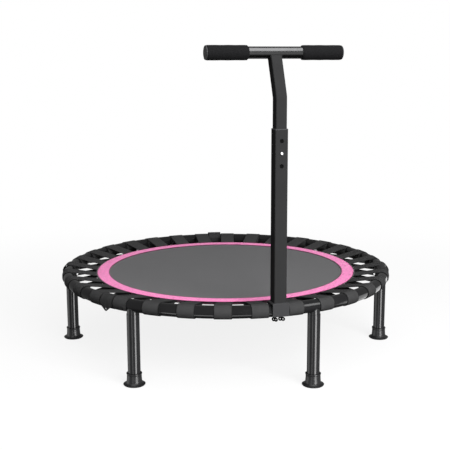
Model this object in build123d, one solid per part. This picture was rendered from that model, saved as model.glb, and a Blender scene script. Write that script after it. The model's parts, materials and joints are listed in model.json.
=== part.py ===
from build123d import *
import os
from math import cos, sin, radians, degrees

# Mini trampoline with a T-shaped grab handle.  Millimetres, +Z up.
# Origin: on the floor, at the centre of the round frame.  The handle stands near the -Y side.

# ---------------------------------------------------------------- driving dimensions
RING_RADIUS = 487.5        # centre line of the round frame tube
RING_HEIGHT = 224.0        # centre line of that tube above the floor
TUBE_OD = 35.0             # frame tube and legs
TUBE_WALL = 1.5
LEG_COUNT = 6
STRAP_COUNT = 32
STRAP_WIDTH = 47.5
BAND_OUTER = 402.0         # coloured edge band of the jump mat
BAND_INNER = 361.5
HANDLE_HEIGHT = 890.0      # centre line of the handlebar
LOWER_POST = 34.5          # outer square tube of the handle post
UPPER_POST = 29.5          # square tube that slides in it

# ---------------------------------------------------------------- values worked out from them
STRAP_PITCH = 360 / STRAP_COUNT
LEG_PITCH = 360 / LEG_COUNT
TUBE_R = TUBE_OD / 2
TUBE_BORE_R = TUBE_R - TUBE_WALL
POST_ANGLE = 25.5 * STRAP_PITCH + 0.5                 # between two straps, a little off the middle
JOINT_ANGLES = [20.5 * STRAP_PITCH, 31.5 * STRAP_PITCH, 40.5 * STRAP_PITCH]
ARC_NAMES = ["frame_arc_front", "frame_arc_right", "frame_arc_left"]
LEG_NAMES = ["right", "back_right", "back_left", "left", "front_left", "front_right"]

# ---------------------------------------------------------------- fits and small sizes
GAP = 0.1                  # between parts that touch, so that no two solids share volume
RUNNING_GAP = 0.05         # radial clearance of a part that turns or slides on another

# leg fixing
SOCKET_BOTTOM = 201.0
STUD_R = 6.0
STUD_TOP = 216.0
PLUG_LENGTH = 14.0

# foot
FOOT_R = 29.5
FOOT_HEIGHT = 34.5
FOOT_COLLAR_R = 20.2
FOOT_FLOOR = 6.0           # the leg stands on this web inside the foot
FOOT_RING_R = 21.0         # inside of the ring that touches the floor
FOOT_HOLLOW = 3.0          # depth of the suction hollow inside that ring

# frame joints
JOINER_LENGTH = 70.0
JOINT_PIN_R = 3.0
JOINT_PIN_OFFSET = 15.0
COVER_WIDTH = 46.0
COVER_THICKNESS = 1.8
COVER_SHOULDER = 215.5     # height where the hanging flap starts to narrow
COVER_TIP = 199.5
COVER_POINT = 4.0          # width left at the flap's point
EYELET_HEIGHT = 206.0
EYELET_HOLE_R = 2.9
EYELET_BARREL_R = 3.5
EYELET_RIM_R = 4.6
EYELET_RIM = 0.5

# mat and straps
MAT_THICKNESS = 2.0
MAT_TOP = 225.5
BAND_THICKNESS = 1.4
MAT_RADIUS = BAND_OUTER - BAND_THICKNESS - GAP
BAND_UNDER_INNER = 382.0
STRAP_THICKNESS = 1.6
STRAP_CLEARANCE = 0.2
STRAP_BEND_R = 0.3         # inside of the fold where both layers meet at the mat
STRAP_END_GAP = 0.5
SLOT_DEPTH = 43.0          # opening in a strap's lower layer where a leg passes it
SLOT_WIDTH = 37.0
SLOT_TOP = RING_HEIGHT - 5

# handle clamp
PLATE = 4.0
CLAMP_WIDTH = 45.5
CLAMP_INNER = 37.0
CLAMP_TOP = 246.0
CLAMP_BOTTOM = 211.0
CLAMP_BEND_R = 1.6
BOLT_R = 2.5
BOLT_OFFSET = 9.6
BOLT_HEAD_R = 4.6
BOLT_HEAD = 2.4
WASHER_R = 5.4
WASHER = 1.0
NUT_LENGTH = 5.0
NUT_BASE_R = 4.4
NUT_NECK_R = 3.6
WING_TIP_R = 4.8           # round end of a wing
WING_SPAN_R = 9.4
WING_RISE = 12.4
WING_HOLE_R = 2.9
WING_THICKNESS = 2.4

# post
POST_WALL = 1.5
LOWER_TOP = 698.0
CORNER_R = 3.0
UPPER_BOTTOM = 530.0
BEND_START = 779.5
BEND_INSET = 45.0          # the post's centre line has moved this far towards the mat at the handlebar
BAR_NOTCH = 3.0            # the bar sits in the post's end, this far outward of that centre line
BAR_INSET = BEND_INSET - BAR_NOTCH
BEND_R = 30.0
HOLE_PITCH = 32.0
MIDDLE_HOLE = 638.0
POST_HOLE_R = 5.4
BUTTON_R = 4.9
BUTTON_FLANGE_R = 6.6
BUTTON_FLANGE = 1.4
BUTTON_PROUD = 3.6         # dome beyond the lower post's face
BUTTON_ROUND = 3.0
BUSH_RIM = 2.5
BUSH_DEPTH = 22.0
BUSH_RIM_SIZE = 35.2
SPRING_WIDTH = 9.0
SPRING_THICKNESS = 0.8
SPRING_LENGTH = 46.0
SPRING_BEND_R = 3.0

# handlebar
BAR_R = 15.5
BAR_LENGTH = 362.5
GRIP_LENGTH = 109.5
GRIP_R = 19.0
GRIP_CHAMFER = 2.0
CAP_FLANGE_R = 18.2
CAP_FLANGE = 2.6
CAP_PLUG = 18.0


def station(angle, height=0):
    """Place on the ring: local X points outward, local Y runs counter-clockwise along the tube."""
    x = RING_RADIUS * cos(radians(angle))
    y = RING_RADIUS * sin(radians(angle))
    return Location((x, y, height), (0, 0, angle))


def arc_angle(length):
    """Angle in degrees that a length along the tube's centre line takes."""
    return degrees(length / RING_RADIUS)


def ring_sector(section, start, sweep):
    """Turn a section in the XZ plane about Z from the start angle through the sweep."""
    return Rot(0, 0, start) * revolve(section, Axis.Z, sweep)


def tube_section(outer_r, inner_r):
    """Annulus around the tube's centre line, in the XZ plane."""
    return Plane.XZ * Pos(RING_RADIUS, RING_HEIGHT) * (Circle(outer_r) - Circle(inner_r))


def radial_rod(radius, start, end, offset, height):
    """Round rod along local X between two distances from the tube's centre line."""
    rod = Plane.YZ * Pos(offset, height) * Circle(radius)
    return Pos(start, 0, 0) * extrude(rod, end - start, dir=(1, 0, 0))


def upright_rod(radius, bottom, top):
    """Round rod along Z."""
    return Pos(0, 0, bottom) * Cylinder(radius, top - bottom, align=(Align.CENTER, Align.CENTER, Align.MIN))


def square_tube(size, wall, bottom, top):
    """Upright square tube with rounded corners."""
    outer = RectangleRounded(size, size, CORNER_R)
    inner = RectangleRounded(size - 2 * wall, size - 2 * wall, CORNER_R - wall)
    return Pos(0, 0, bottom) * extrude(outer - inner, top - bottom)


def save(name, solids):
    """Write one sub-part, which may be several separate solids."""
    parts = []
    for solid in solids:
        parts.extend(solid.solids())
    export_step(Compound(children=parts), f"parts/{name}.step")


# ---------------------------------------------------------------- frame
def leg_angles():
    return [index * LEG_PITCH for index in range(LEG_COUNT)]


def joint_pin_angles(joint):
    offset = arc_angle(JOINT_PIN_OFFSET)
    return [joint - offset, joint + offset]


def frame_arc(start, end):
    """One of the three bent tubes, with its pin holes and leg stud holes."""
    half_gap = arc_angle(GAP) / 2
    arc = ring_sector(tube_section(TUBE_R, TUBE_BORE_R), start + half_gap, end - start - 2 * half_gap)
    for angle in [joint_pin_angles(start)[1], joint_pin_angles(end)[0]]:
        arc -= station(angle) * upright_rod(JOINT_PIN_R + GAP, SOCKET_BOTTOM, RING_HEIGHT + TUBE_OD)
    for angle in leg_angles():
        if (angle - start) % 360 < end - start:
            arc -= station(angle) * upright_rod(STUD_R + GAP, SOCKET_BOTTOM, RING_HEIGHT)
    if start < POST_ANGLE < end:
        for side in (-1, 1):
            arc -= station(POST_ANGLE) * bolt_hole(side)
    return arc


def frame_joiner(joint):
    """Bent sleeve inside two arc ends."""
    sweep = arc_angle(JOINER_LENGTH)
    outer_r = TUBE_BORE_R - GAP
    sleeve = ring_sector(tube_section(outer_r, outer_r - TUBE_WALL), joint - sweep / 2, sweep)
    for angle in joint_pin_angles(joint):
        sleeve -= station(angle) * upright_rod(JOINT_PIN_R + GAP, SOCKET_BOTTOM, RING_HEIGHT + TUBE_OD)
    return sleeve


def joint_pins(joint):
    """Two cross pins, flush with the tube, that hold a joiner in its arcs."""
    half = TUBE_R - GAP
    return [station(angle) * upright_rod(JOINT_PIN_R, RING_HEIGHT - half, RING_HEIGHT + half)
            for angle in joint_pin_angles(joint)]


def cover_section():
    """Webbing round the tube, with the upright strip on its outer side that becomes the flap."""
    inner_r = TUBE_R + STRAP_CLEARANCE
    wrap = Pos(RING_RADIUS, RING_HEIGHT) * (Circle(inner_r + COVER_THICKNESS) - Circle(inner_r))
    strip = Rectangle(COVER_THICKNESS, RING_HEIGHT - COVER_TIP, align=(Align.MIN, Align.MIN))
    return Plane.XZ * (wrap + Pos(RING_RADIUS + inner_r, COVER_TIP) * strip)


def joint_cover(joint):
    """Webbing wrap over a frame joint.  Its pointed flap hangs on the outer side and has an eyelet hole."""
    sweep = arc_angle(COVER_WIDTH)
    cover = ring_sector(cover_section(), joint - sweep / 2, sweep)
    flap_start = TUBE_R - STRAP_CLEARANCE
    for side in (-1, 1):
        inside, outside = side * COVER_POINT / 2, side * (COVER_WIDTH / 2 + 1)
        corner = Polygon((outside, COVER_SHOULDER), (inside, COVER_TIP), (inside, COVER_TIP - 1),
                         (outside, COVER_TIP - 1), align=None)
        cover -= station(joint) * Pos(flap_start, 0, 0) * extrude(Plane.YZ * corner, TUBE_OD, dir=(1, 0, 0))
    hole = radial_rod(EYELET_BARREL_R + GAP, flap_start, TUBE_OD, 0, EYELET_HEIGHT)
    return cover - station(joint) * hole


def cover_eyelet(joint):
    """Metal eyelet in the point of the flap, with a rim on each face."""
    inner = TUBE_R + STRAP_CLEARANCE - GAP
    outer = inner + COVER_THICKNESS + 2 * GAP
    eyelet = radial_rod(EYELET_BARREL_R, inner, outer, 0, EYELET_HEIGHT)
    eyelet += radial_rod(EYELET_RIM_R, inner - EYELET_RIM, inner, 0, EYELET_HEIGHT)
    eyelet += radial_rod(EYELET_RIM_R, outer, outer + EYELET_RIM, 0, EYELET_HEIGHT)
    eyelet -= radial_rod(EYELET_HOLE_R, inner - 1, outer + 1, 0, EYELET_HEIGHT)
    return station(joint) * eyelet


# ---------------------------------------------------------------- legs
def leg_socket(angle):
    """Boss welded under the frame tube, shaped to it, with the hole for the leg's stud."""
    boss = upright_rod(TUBE_R - 1, SOCKET_BOTTOM + GAP, RING_HEIGHT)
    boss -= upright_rod(STUD_R + GAP, SOCKET_BOTTOM, RING_HEIGHT + 1)
    sweep = arc_angle(3 * TUBE_OD)
    tube_solid = Plane.XZ * Pos(RING_RADIUS, RING_HEIGHT) * Circle(TUBE_R + GAP)
    return station(angle) * boss - ring_sector(tube_solid, angle - sweep / 2, sweep)


def leg_tube(angle):
    leg = upright_rod(TUBE_R, FOOT_FLOOR + GAP, SOCKET_BOTTOM)
    leg -= upright_rod(TUBE_BORE_R, FOOT_FLOOR, SOCKET_BOTTOM + 1)
    return station(angle) * leg


def leg_stud(angle):
    """Plug in the top of the leg with the stud that screws into the frame."""
    plug = upright_rod(TUBE_BORE_R - GAP, SOCKET_BOTTOM - PLUG_LENGTH, SOCKET_BOTTOM)
    stud = upright_rod(STUD_R, SOCKET_BOTTOM, STUD_TOP)
    stud = chamfer(stud.edges().group_by(Axis.Z)[-1], 1)
    return station(angle) * (plug + stud)


def foot(angle):
    """Rubber foot: flared base with a shallow suction hollow, and a collar around the leg."""
    bore_r = TUBE_R + GAP
    with BuildPart() as rubber:
        with BuildSketch(Plane.XZ):
            with BuildLine():
                base = Line((FOOT_RING_R, 0), (FOOT_R - 1, 0))
                rim = ThreePointArc(base @ 1, (FOOT_R, 1.5), (FOOT_R - 0.8, 3.2))
                flare = ThreePointArc(rim @ 1, (FOOT_COLLAR_R + 2.2, 6.5), (FOOT_COLLAR_R, 13))
                side = Line(flare @ 1, (FOOT_COLLAR_R, FOOT_HEIGHT - 4))
                lip_middle = (FOOT_COLLAR_R + 1, FOOT_HEIGHT - 2)
                lip = ThreePointArc(side @ 1, lip_middle, (FOOT_COLLAR_R, FOOT_HEIGHT))
                mouth = Line(lip @ 1, (bore_r, FOOT_HEIGHT))
                inside = Polyline(mouth @ 1, (bore_r, FOOT_FLOOR), (0, FOOT_FLOOR), (0, FOOT_HOLLOW))
                ThreePointArc(inside @ 1, (FOOT_RING_R / 2, 0.7 * FOOT_HOLLOW), base @ 0)
            make_face()
        revolve(axis=Axis.Z)
    return station(angle) * rubber.part


# ---------------------------------------------------------------- mat and straps
def disc_section(inner_r, outer_r, bottom, top):
    """Rectangle in the XZ plane between two radii and two heights."""
    rectangle = Rectangle(outer_r - inner_r, top - bottom, align=(Align.MIN, Align.MIN))
    return Plane.XZ * Pos(inner_r, bottom) * rectangle


def jump_mat():
    return revolve(disc_section(0, MAT_RADIUS, MAT_TOP - MAT_THICKNESS, MAT_TOP), Axis.Z)


def edge_band():
    """Coloured band folded over the mat's edge."""
    top = MAT_TOP + GAP
    bottom = MAT_TOP - MAT_THICKNESS - GAP
    section = disc_section(BAND_INNER, BAND_OUTER, top, top + BAND_THICKNESS)
    section += disc_section(MAT_RADIUS + GAP, BAND_OUTER, bottom - BAND_THICKNESS, top + BAND_THICKNESS)
    section += disc_section(BAND_UNDER_INNER, BAND_OUTER, bottom - BAND_THICKNESS, bottom)
    return revolve(section, Axis.Z)


def strap_loop_section(tube_gap, fold_r):
    """Closed outline around the tube and the fold at the mat's edge."""
    fold_x = BAND_OUTER + STRAP_END_GAP + STRAP_BEND_R + STRAP_THICKNESS
    around_tube = Pos(RING_RADIUS, RING_HEIGHT) * Circle(TUBE_R + tube_gap)
    at_mat = Pos(fold_x, MAT_TOP - MAT_THICKNESS / 2) * Circle(fold_r)
    return make_hull(around_tube.edges() + at_mat.edges())


def elastic_strap(index):
    """Elastic webbing looped around the frame tube, with both layers running to the mat."""
    outer = strap_loop_section(STRAP_CLEARANCE + STRAP_THICKNESS, STRAP_BEND_R + STRAP_THICKNESS)
    inner = strap_loop_section(STRAP_CLEARANCE, STRAP_BEND_R)
    sweep = arc_angle(STRAP_WIDTH)
    angle = index * STRAP_PITCH
    strap = ring_sector(Plane.XZ * (outer - inner), angle - sweep / 2, sweep)
    slot = Box(SLOT_DEPTH, SLOT_WIDTH, SLOT_TOP, align=(Align.CENTER, Align.CENTER, Align.MIN))
    for leg in leg_angles():
        apart = abs((angle - leg + 180) % 360 - 180)
        if apart < arc_angle(STRAP_WIDTH + SLOT_WIDTH) / 2:
            strap -= station(leg) * slot
    beside_clamp = abs((angle - POST_ANGLE + 180) % 360 - 180) < STRAP_PITCH
    return strap - station(POST_ANGLE, RING_HEIGHT) * clamp_space() if beside_clamp else strap


# ---------------------------------------------------------------- handle clamp
def bolt_hole(side):
    """Upright hole for a clamp bolt, through the saddle and both walls of the frame tube."""
    hole = upright_rod(BOLT_R + GAP, CLAMP_BOTTOM - TUBE_OD, CLAMP_TOP + PLATE)
    return Pos(0, side * BOLT_OFFSET, 0) * hole


def clamp_space():
    """Room for the clamp, which squeezes the edge of the strap beside it."""
    return Box(2 * TUBE_OD, CLAMP_WIDTH + 4 * GAP, 2 * TUBE_OD)


def clamp_saddle():
    """Upside-down U of plate over the frame tube, with the post welded on top."""
    half = CLAMP_INNER / 2
    outline = Polyline((-half - PLATE, CLAMP_BOTTOM), (-half - PLATE, CLAMP_TOP), (half + PLATE, CLAMP_TOP),
                       (half + PLATE, CLAMP_BOTTOM), (half, CLAMP_BOTTOM), (half, CLAMP_TOP - PLATE),
                       (-half, CLAMP_TOP - PLATE), (-half, CLAMP_BOTTOM), close=True)
    saddle = extrude(Plane.XZ * make_face(outline), CLAMP_WIDTH / 2, both=True)
    lower_corners = saddle.edges().filter_by(Axis.X).group_by(Axis.Z)[0]
    saddle = fillet(lower_corners, 4)
    top_edges = saddle.edges().filter_by(Axis.Y).group_by(Axis.Z)[-1]
    saddle = fillet(top_edges, CLAMP_BEND_R)
    return saddle - bolt_hole(-1) - bolt_hole(1)


def clamp_bolt(side):
    """Bolt with its head held inside the post and its thread under the frame tube."""
    bottom = RING_HEIGHT - TUBE_R - WASHER - NUT_LENGTH - 2
    seat = CLAMP_TOP + GAP
    head = upright_rod(BOLT_HEAD_R, seat, seat + BOLT_HEAD)
    head = fillet(head.edges().group_by(Axis.Z)[-1], BOLT_HEAD - 0.6)
    shank = upright_rod(BOLT_R, bottom, seat)
    shank = chamfer(shank.edges().group_by(Axis.Z)[0], 0.6)
    return Pos(0, side * BOLT_OFFSET, 0) * (head + shank)


def clamp_washer(side):
    top = RING_HEIGHT - TUBE_R - GAP
    washer = upright_rod(WASHER_R, top - WASHER, top) - upright_rod(BOLT_R + GAP, top - 2 * WASHER, top + 1)
    return Pos(0, side * BOLT_OFFSET, 0) * washer


def wing_nut(side, turn):
    """Wing nut with an eye in each wing, under the frame tube, turned by the turn angle at rest."""
    nut = Cone(NUT_BASE_R, NUT_NECK_R, NUT_LENGTH, align=(Align.CENTER, Align.CENTER, Align.MIN))
    for direction in (-1, 1):
        tip = Pos(direction * (WING_SPAN_R - WING_TIP_R), WING_RISE - WING_TIP_R) * Circle(WING_TIP_R)
        root = Pos(direction * NUT_NECK_R / 2, NUT_LENGTH / 2) * Circle(NUT_LENGTH / 2 - GAP)
        eye = Pos(direction * (WING_SPAN_R - WING_TIP_R), WING_RISE - WING_TIP_R) * Circle(WING_HOLE_R)
        outline = make_hull(tip.edges() + root.edges()) - eye
        nut += extrude(Plane.XZ * outline, WING_THICKNESS / 2, both=True)
    nut -= Cylinder(BOLT_R + RUNNING_GAP, 4 * WING_RISE)
    start = RING_HEIGHT - TUBE_R - 2 * GAP - WASHER
    return Pos(0, side * BOLT_OFFSET, start) * Rot(180, 0, turn) * nut


# ---------------------------------------------------------------- post
def hole_heights():
    return [MIDDLE_HOLE + step * HOLE_PITCH for step in (-1, 0, 1)]


def lower_post():
    """Outer square tube with the three height holes in its outer face."""
    post = square_tube(LOWER_POST, POST_WALL, CLAMP_TOP + GAP, LOWER_TOP)
    for height in hole_heights():
        post -= radial_rod(POST_HOLE_R, LOWER_POST / 4, LOWER_POST, 0, height)
    return post


def post_bush():
    """Plastic guide in the mouth of the lower post."""
    rim = RectangleRounded(BUSH_RIM_SIZE, BUSH_RIM_SIZE, CORNER_R + 1)
    body_size = LOWER_POST - 2 * POST_WALL - 2 * RUNNING_GAP
    body = RectangleRounded(body_size, body_size, CORNER_R - POST_WALL)
    slide_way = UPPER_POST + 4 * RUNNING_GAP
    opening = RectangleRounded(slide_way, slide_way, CORNER_R + 2 * RUNNING_GAP)
    bush = Pos(0, 0, LOWER_TOP + GAP) * extrude(rim, BUSH_RIM)
    bush = chamfer(bush.edges().group_by(Axis.Z)[-1], 0.8)
    bush += Pos(0, 0, LOWER_TOP - BUSH_DEPTH) * extrude(body, BUSH_DEPTH + GAP)
    return bush - Pos(0, 0, LOWER_TOP - 2 * BUSH_DEPTH) * extrude(opening, 4 * BUSH_DEPTH)


def upper_post():
    """Inner square tube: straight in the lower post, then bent towards the mat up to the handlebar."""
    bend = (0, 0, BEND_START)
    path = FilletPolyline((0, 0, UPPER_BOTTOM), bend, (-BEND_INSET, 0, HANDLE_HEIGHT), radius=BEND_R)
    outer = RectangleRounded(UPPER_POST, UPPER_POST, CORNER_R)
    inner_size = UPPER_POST - 2 * POST_WALL
    inner = RectangleRounded(inner_size, inner_size, CORNER_R - POST_WALL)
    start = Pos(0, 0, UPPER_BOTTOM)
    post = sweep(start * outer, path) - sweep(start * inner, path)
    bar = Pos(-BAR_INSET, 0, HANDLE_HEIGHT) * Rot(90, 0, 0) * Cylinder(BAR_R + GAP, BAR_LENGTH)
    above_bar = Pos(-BAR_INSET, 0, HANDLE_HEIGHT + BAR_R) * Box(4 * BAR_R, 4 * BAR_R, 2 * BAR_R)
    post = post - bar - above_bar
    return post - radial_rod(BUTTON_R + 2 * RUNNING_GAP, UPPER_POST / 4, UPPER_POST, 0, MIDDLE_HOLE)


def snap_button():
    """Domed button that locks the upper post in one of the height holes."""
    wall_inside = UPPER_POST / 2 - POST_WALL
    flange = radial_rod(BUTTON_FLANGE_R, wall_inside - GAP - BUTTON_FLANGE, wall_inside - GAP, 0, MIDDLE_HOLE)
    body = radial_rod(BUTTON_R, wall_inside - GAP, LOWER_POST / 2 + BUTTON_PROUD, 0, MIDDLE_HOLE)
    body = fillet(body.edges().group_by(Axis.X)[-1], BUTTON_ROUND)
    return flange + body


def button_spring():
    """V-shaped leaf spring behind the button."""
    half = SPRING_THICKNESS / 2
    front = UPPER_POST / 2 - POST_WALL - 2 * GAP - BUTTON_FLANGE - half
    back = -(UPPER_POST / 2 - POST_WALL - GAP - half)
    top = MIDDLE_HOLE + BUTTON_FLANGE_R
    knee = (front, MIDDLE_HOLE - BUTTON_FLANGE_R)
    fold = (0, MIDDLE_HOLE - SPRING_LENGTH)
    line = FilletPolyline((front, top), knee, fold, (back, top), radius=SPRING_BEND_R)
    return extrude(Plane.XZ * trace(line, SPRING_THICKNESS), SPRING_WIDTH / 2, both=True)


# ---------------------------------------------------------------- handlebar
def bar_place(part):
    """Stand a part made along local Z onto the handlebar's axis, local Y."""
    return Pos(-BAR_INSET, 0, HANDLE_HEIGHT) * Rot(-90, 0, 0) * part


def handlebar():
    return bar_place(Cylinder(BAR_R, BAR_LENGTH) - Cylinder(BAR_R - TUBE_WALL, BAR_LENGTH + 2))


def handle_grip(side):
    """Foam sleeve with a chamfered inner end."""
    sleeve = Cylinder(GRIP_R, GRIP_LENGTH)
    sleeve = chamfer(sleeve.edges().group_by(Axis.Z)[0 if side > 0 else -1], GRIP_CHAMFER)
    sleeve = fillet(sleeve.edges().group_by(Axis.Z)[-1 if side > 0 else 0], 1.5)
    sleeve -= Cylinder(BAR_R + GAP, GRIP_LENGTH + 2)
    return bar_place(Pos(0, 0, side * (BAR_LENGTH - GRIP_LENGTH) / 2) * sleeve)


def bar_end_cap(side):
    """Plastic cap pushed into the open end of the handlebar."""
    flange = Cylinder(CAP_FLANGE_R, CAP_FLANGE, align=(Align.CENTER, Align.CENTER, Align.MIN))
    flange = fillet(flange.edges().group_by(Axis.Z)[-1], 1.5)
    plug = Cylinder(BAR_R - TUBE_WALL - GAP, CAP_PLUG, align=(Align.CENTER, Align.CENTER, Align.MAX))
    cap = Pos(0, 0, BAR_LENGTH / 2 + GAP) * (flange + plug)
    return bar_place(cap if side > 0 else Rot(180, 0, 0) * cap)


# ---------------------------------------------------------------- write every sub-part
os.makedirs("parts", exist_ok=True)

for name, start, end in zip(ARC_NAMES, JOINT_ANGLES, JOINT_ANGLES[1:] + [JOINT_ANGLES[0] + 360]):
    save(name, [frame_arc(start, end)])
save("frame_joiners", [frame_joiner(joint) for joint in JOINT_ANGLES])
save("joint_pins", [pin for joint in JOINT_ANGLES for pin in joint_pins(joint)])
save("joint_covers", [joint_cover(joint) for joint in JOINT_ANGLES])
save("cover_eyelets", [cover_eyelet(joint) for joint in JOINT_ANGLES])

save("leg_sockets", [leg_socket(angle) for angle in leg_angles()])
save("leg_studs", [leg_stud(angle) for angle in leg_angles()])
for name, angle in zip(LEG_NAMES, leg_angles()):
    save(f"leg_{name}", [leg_tube(angle)])
    save(f"foot_{name}", [foot(angle)])

save("jump_mat", [jump_mat()])
save("edge_band", [edge_band()])
save("elastic_straps", [elastic_strap(index) for index in range(STRAP_COUNT)])

post_place = station(POST_ANGLE)
save("clamp_saddle", [post_place * clamp_saddle()])
save("clamp_bolts", [post_place * clamp_bolt(side) for side in (-1, 1)])
save("clamp_washers", [post_place * clamp_washer(side) for side in (-1, 1)])
save("wing_nut_left", [post_place * wing_nut(-1, -30)])
save("wing_nut_right", [post_place * wing_nut(1, -50)])
save("lower_post", [post_place * lower_post()])
save("post_bush", [post_place * post_bush()])
save("upper_post", [post_place * upper_post()])
save("snap_button", [post_place * snap_button()])
save("button_spring", [post_place * button_spring()])
save("handlebar", [post_place * handlebar()])
for name, side in (("left", -1), ("right", 1)):
    save(f"grip_{name}", [post_place * handle_grip(side)])
    save(f"bar_cap_{name}", [post_place * bar_end_cap(side)])
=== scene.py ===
import json
import math
import random

import bmesh
import bpy
import numpy as np
from mathutils import Matrix, Vector

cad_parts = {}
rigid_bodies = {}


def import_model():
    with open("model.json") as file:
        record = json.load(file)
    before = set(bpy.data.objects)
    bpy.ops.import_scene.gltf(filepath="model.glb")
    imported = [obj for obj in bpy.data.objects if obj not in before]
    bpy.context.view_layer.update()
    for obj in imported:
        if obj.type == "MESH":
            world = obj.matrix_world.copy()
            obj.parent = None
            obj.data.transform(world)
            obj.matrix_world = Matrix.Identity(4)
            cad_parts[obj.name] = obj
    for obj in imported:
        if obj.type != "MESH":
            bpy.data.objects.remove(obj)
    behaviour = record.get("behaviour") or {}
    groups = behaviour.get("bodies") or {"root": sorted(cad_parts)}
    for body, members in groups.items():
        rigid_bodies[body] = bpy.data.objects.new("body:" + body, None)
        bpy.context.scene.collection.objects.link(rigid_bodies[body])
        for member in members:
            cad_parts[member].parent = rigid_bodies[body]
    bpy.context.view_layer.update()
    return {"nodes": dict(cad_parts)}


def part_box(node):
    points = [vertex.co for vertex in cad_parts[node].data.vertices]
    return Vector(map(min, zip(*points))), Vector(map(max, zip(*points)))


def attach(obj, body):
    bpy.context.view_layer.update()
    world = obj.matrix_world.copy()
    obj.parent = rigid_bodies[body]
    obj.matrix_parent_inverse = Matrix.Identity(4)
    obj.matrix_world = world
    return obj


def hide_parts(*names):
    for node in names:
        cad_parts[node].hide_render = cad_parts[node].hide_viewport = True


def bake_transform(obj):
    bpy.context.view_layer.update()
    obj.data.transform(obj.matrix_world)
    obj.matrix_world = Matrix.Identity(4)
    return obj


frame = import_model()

# ---------------------------------------------------------------- measures read from the frame
arc_low, arc_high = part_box("frame_arc_front")
mat_low, mat_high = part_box("jump_mat")
post_low, post_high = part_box("lower_post")
bar_low, bar_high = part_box("handlebar")
foot_low, foot_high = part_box("foot_right")
leg_low, leg_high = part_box("leg_right")

TUBE_R = (arc_high.z - arc_low.z) / 2
RING_Z = (arc_high.z + arc_low.z) / 2
RING_R = -arc_low.y - TUBE_R
LEG_R = (leg_high.x - leg_low.x) / 2
BAND_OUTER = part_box("edge_band")[1].x
BAND_WIDTH = 0.0405
BAND_INNER = BAND_OUTER - BAND_WIDTH
BAND_RISE = 0.0020         # top of the band above the mat
BAND_UNDERSIDE = 0.0007    # underside of its top flange above the mat
# width of the darker rims at the band's edges: the hems' own colour and painted shade
HEM_AND_SHADE_WIDTH = 0.0055
MAT_TOP = mat_high.z
MAT_BOTTOM = mat_low.z

STRAP_COUNT = 32
STRAP_PITCH = 2 * math.pi / STRAP_COUNT
STRAP_WIDTH = 0.0475
COVER_WIDTH = 0.0445       # of the webbing over a frame joint
LEG_COUNT = 6
JOINT_ANGLES = [gap * STRAP_PITCH for gap in (20.5, 31.5, 40.5)]  # midway between two straps

post_centre = (post_low + post_high) / 2
bar_centre = (bar_low + bar_high) / 2
POST_ANGLE = math.atan2(post_centre.y, post_centre.x)
OUTWARD = Vector((math.cos(POST_ANGLE), math.sin(POST_ANGLE), 0))
ALONG_BAR = Vector((-math.sin(POST_ANGLE), math.cos(POST_ANGLE), 0))
UP = Vector((0, 0, 1))


def reach(name, direction):
    """Lowest and highest place of a CAD node along a direction."""
    node = frame["nodes"][name]
    places = [(node.matrix_world @ vertex.co).dot(direction) for vertex in node.data.vertices]
    return min(places), max(places)


def half_size(name, direction):
    low, high = reach(name, direction)
    return (high - low) / 2


BAR_R = half_size("handlebar", UP)
POST_HALF = half_size("lower_post", ALONG_BAR)
UPPER_HALF = half_size("upper_post", ALONG_BAR)
CLAMP_HALF = half_size("clamp_saddle", ALONG_BAR)


# ---------------------------------------------------------------- mesh helpers
def polar(radius, angle, height):
    return Vector((radius * math.cos(angle), radius * math.sin(angle), height))


def mesh_object(name, points, faces, smooth=True):
    """A linked mesh object from points and faces, with its normals made consistent."""
    mesh = bpy.data.meshes.new(name)
    mesh.from_pydata([tuple(p) for p in points], [], faces)
    mesh.validate()
    work = bmesh.new()
    work.from_mesh(mesh)
    bmesh.ops.recalc_face_normals(work, faces=work.faces)
    work.to_mesh(mesh)
    work.free()
    for polygon in mesh.polygons:
        polygon.use_smooth = smooth
    piece = bpy.data.objects.new(name, mesh)
    bpy.context.scene.collection.objects.link(piece)
    return piece


def bake(piece):
    """Apply every modifier, so that the mesh itself holds the final shape."""
    bpy.context.view_layer.update()
    graph = bpy.context.evaluated_depsgraph_get()
    mesh = bpy.data.meshes.new_from_object(piece.evaluated_get(graph))
    piece.modifiers.clear()
    piece.data = mesh
    return piece


def add_bevel(piece, width, segments=2, angle=35):
    bevel = piece.modifiers.new("bevel", "BEVEL")
    bevel.width = width
    bevel.segments = segments
    bevel.limit_method = "ANGLE"
    bevel.angle_limit = math.radians(angle)
    bevel.harden_normals = False
    return piece


def grid_faces(rows, columns, close_rows=False, close_columns=False):
    """Quads of a grid whose points run column by column within each row."""
    faces = []
    for row in range(rows if close_rows else rows - 1):
        for column in range(columns if close_columns else columns - 1):
            next_row = (row + 1) % rows
            next_column = (column + 1) % columns
            faces.append((row * columns + column, row * columns + next_column,
                          next_row * columns + next_column, next_row * columns + column))
    return faces


def lathe(name, profile, segments, closed=False):
    """Turn (radius, height) points about Z.  An open profile that ends on the axis is capped there."""
    points = [polar(radius, 2 * math.pi * step / segments, height)
              for radius, height in profile for step in range(segments)]
    faces = grid_faces(len(profile), segments, close_rows=closed, close_columns=True)
    piece = mesh_object(name, points, faces)
    work = bmesh.new()
    work.from_mesh(piece.data)
    bmesh.ops.remove_doubles(work, verts=work.verts, dist=1e-6)
    bmesh.ops.recalc_face_normals(work, faces=work.faces)
    work.to_mesh(piece.data)
    work.free()
    return piece


def arc_points(centre, radius, start, end, steps):
    """Points on an arc in the (radius, height) plane, angles in degrees."""
    cx, cy = centre
    angles = np.radians(np.linspace(start, end, steps + 1))
    return [(cx + radius * math.cos(a), cy + radius * math.sin(a)) for a in angles]


def move_to(piece, matrix):
    piece.data.transform(matrix)
    return piece


def station(angle, height=0.0):
    """Matrix of a place on the ring: local X outward, local Y counter-clockwise along the tube."""
    return Matrix.Translation(polar(RING_R, angle, height)) @ Matrix.Rotation(angle, 4, "Z")


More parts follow.
